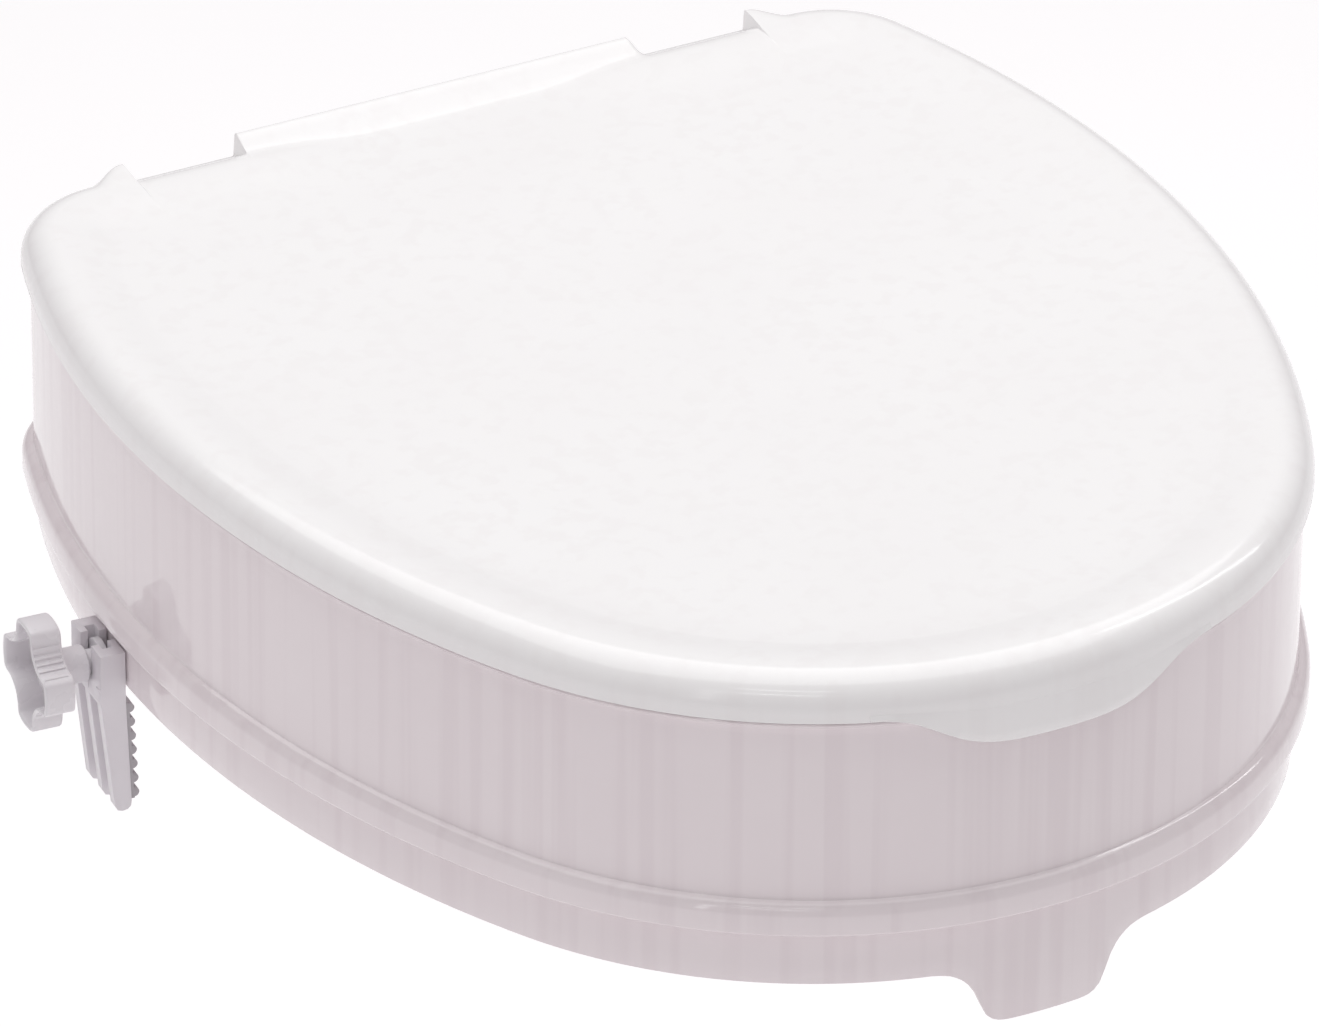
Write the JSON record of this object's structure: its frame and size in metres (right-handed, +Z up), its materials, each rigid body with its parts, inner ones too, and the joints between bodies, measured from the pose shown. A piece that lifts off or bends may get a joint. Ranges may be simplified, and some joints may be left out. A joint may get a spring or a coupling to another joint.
{
  "type": "raised toilet seat",
  "caption": "Raised toilet seat with a hinged lid, moulded riser body and a screw clamp on each side that grips the bowl rim.",
  "frame": {"origin": "on the mid-plane of the seat, half way between its front and rear ends, at the height of the lower ends of the two clamps", "axes": "+X to the right seen from behind the user's head, -Y towards the front of the seat, +Z up"},
  "size_m": [0.4306, 0.4246, 0.1606],
  "materials": {
    "body_moulding": "white glossy injection moulding",
    "lid_moulding": "white glossy injection moulding",
    "hinge_block": "white glossy injection moulding",
    "bracket_plastic": "satin white nylon",
    "knob_plastic": "satin white moulding",
    "collar_plastic": "satin white acetal",
    "rim_pad_rubber": "light grey rubber",
    "grip_rubber": "grey rubber",
    "buffer_rubber": "light grey rubber",
    "screw_steel": "zinc plated steel",
    "nut_steel": "zinc plated steel",
    "pin_steel": "bright steel rod"
  },
  "bodies": {
    "base": {"seat_body": "body_moulding", "rim_pads": "rim_pad_rubber", "hinge_block_left": "hinge_block", "hinge_block_right": "hinge_block", "hinge_screws": "screw_steel", "nut_left": "nut_steel", "nut_right": "nut_steel"},
    "lid_body": {"lid": "lid_moulding", "hinge_rail": "lid_moulding", "lid_ribs": "lid_moulding", "lid_buffers": "buffer_rubber", "hinge_pin_left": "pin_steel", "hinge_pin_right": "pin_steel"},
    "clamp_left": {"bracket_left": "bracket_plastic", "grip_left": "grip_rubber"},
    "knob_and_screw_left": {"knob_left": "knob_plastic", "collar_left": "collar_plastic", "screw_left": "screw_steel"},
    "clamp_right": {"bracket_right": "bracket_plastic", "grip_right": "grip_rubber"},
    "knob_and_screw_right": {"knob_right": "knob_plastic", "collar_right": "collar_plastic", "screw_right": "screw_steel"}
  },
  "joints": [
    {"name": "lid_hinge", "type": "hinge", "parent": "base", "child": "lid_body", "pos_m": [0, 0.2075, 0.1515], "axis": [-1, 0, 0], "range_deg": [0, 105]},
    {"name": "clamp_left_slide", "type": "slide", "parent": "base", "child": "clamp_left", "axis": [-0.9969, 0.0785, 0], "range_m": [0, 0.0101]},
    {"name": "knob_left_spin", "type": "hinge", "parent": "clamp_left", "child": "knob_and_screw_left", "pos_m": [-0.18409, 0.08669, 0.0513], "axis": [-0.9969, 0.0785, 0], "range_deg": [0, 1800]},
    {"name": "clamp_right_slide", "type": "slide", "parent": "base", "child": "clamp_right", "axis": [0.9969, 0.0785, 0], "range_m": [0, 0.0101]},
    {"name": "knob_right_spin", "type": "hinge", "parent": "clamp_right", "child": "knob_and_screw_right", "pos_m": [0.18409, 0.08669, 0.0513], "axis": [0.9969, 0.0785, 0], "range_deg": [0, 1800]}
  ],
  "couplings": [
    {"joint": "clamp_left_slide", "follows": "knob_left_spin", "m_per_rad": 0.00031831},
    {"joint": "clamp_right_slide", "follows": "knob_right_spin", "m_per_rad": 0.00031831}
  ]
}
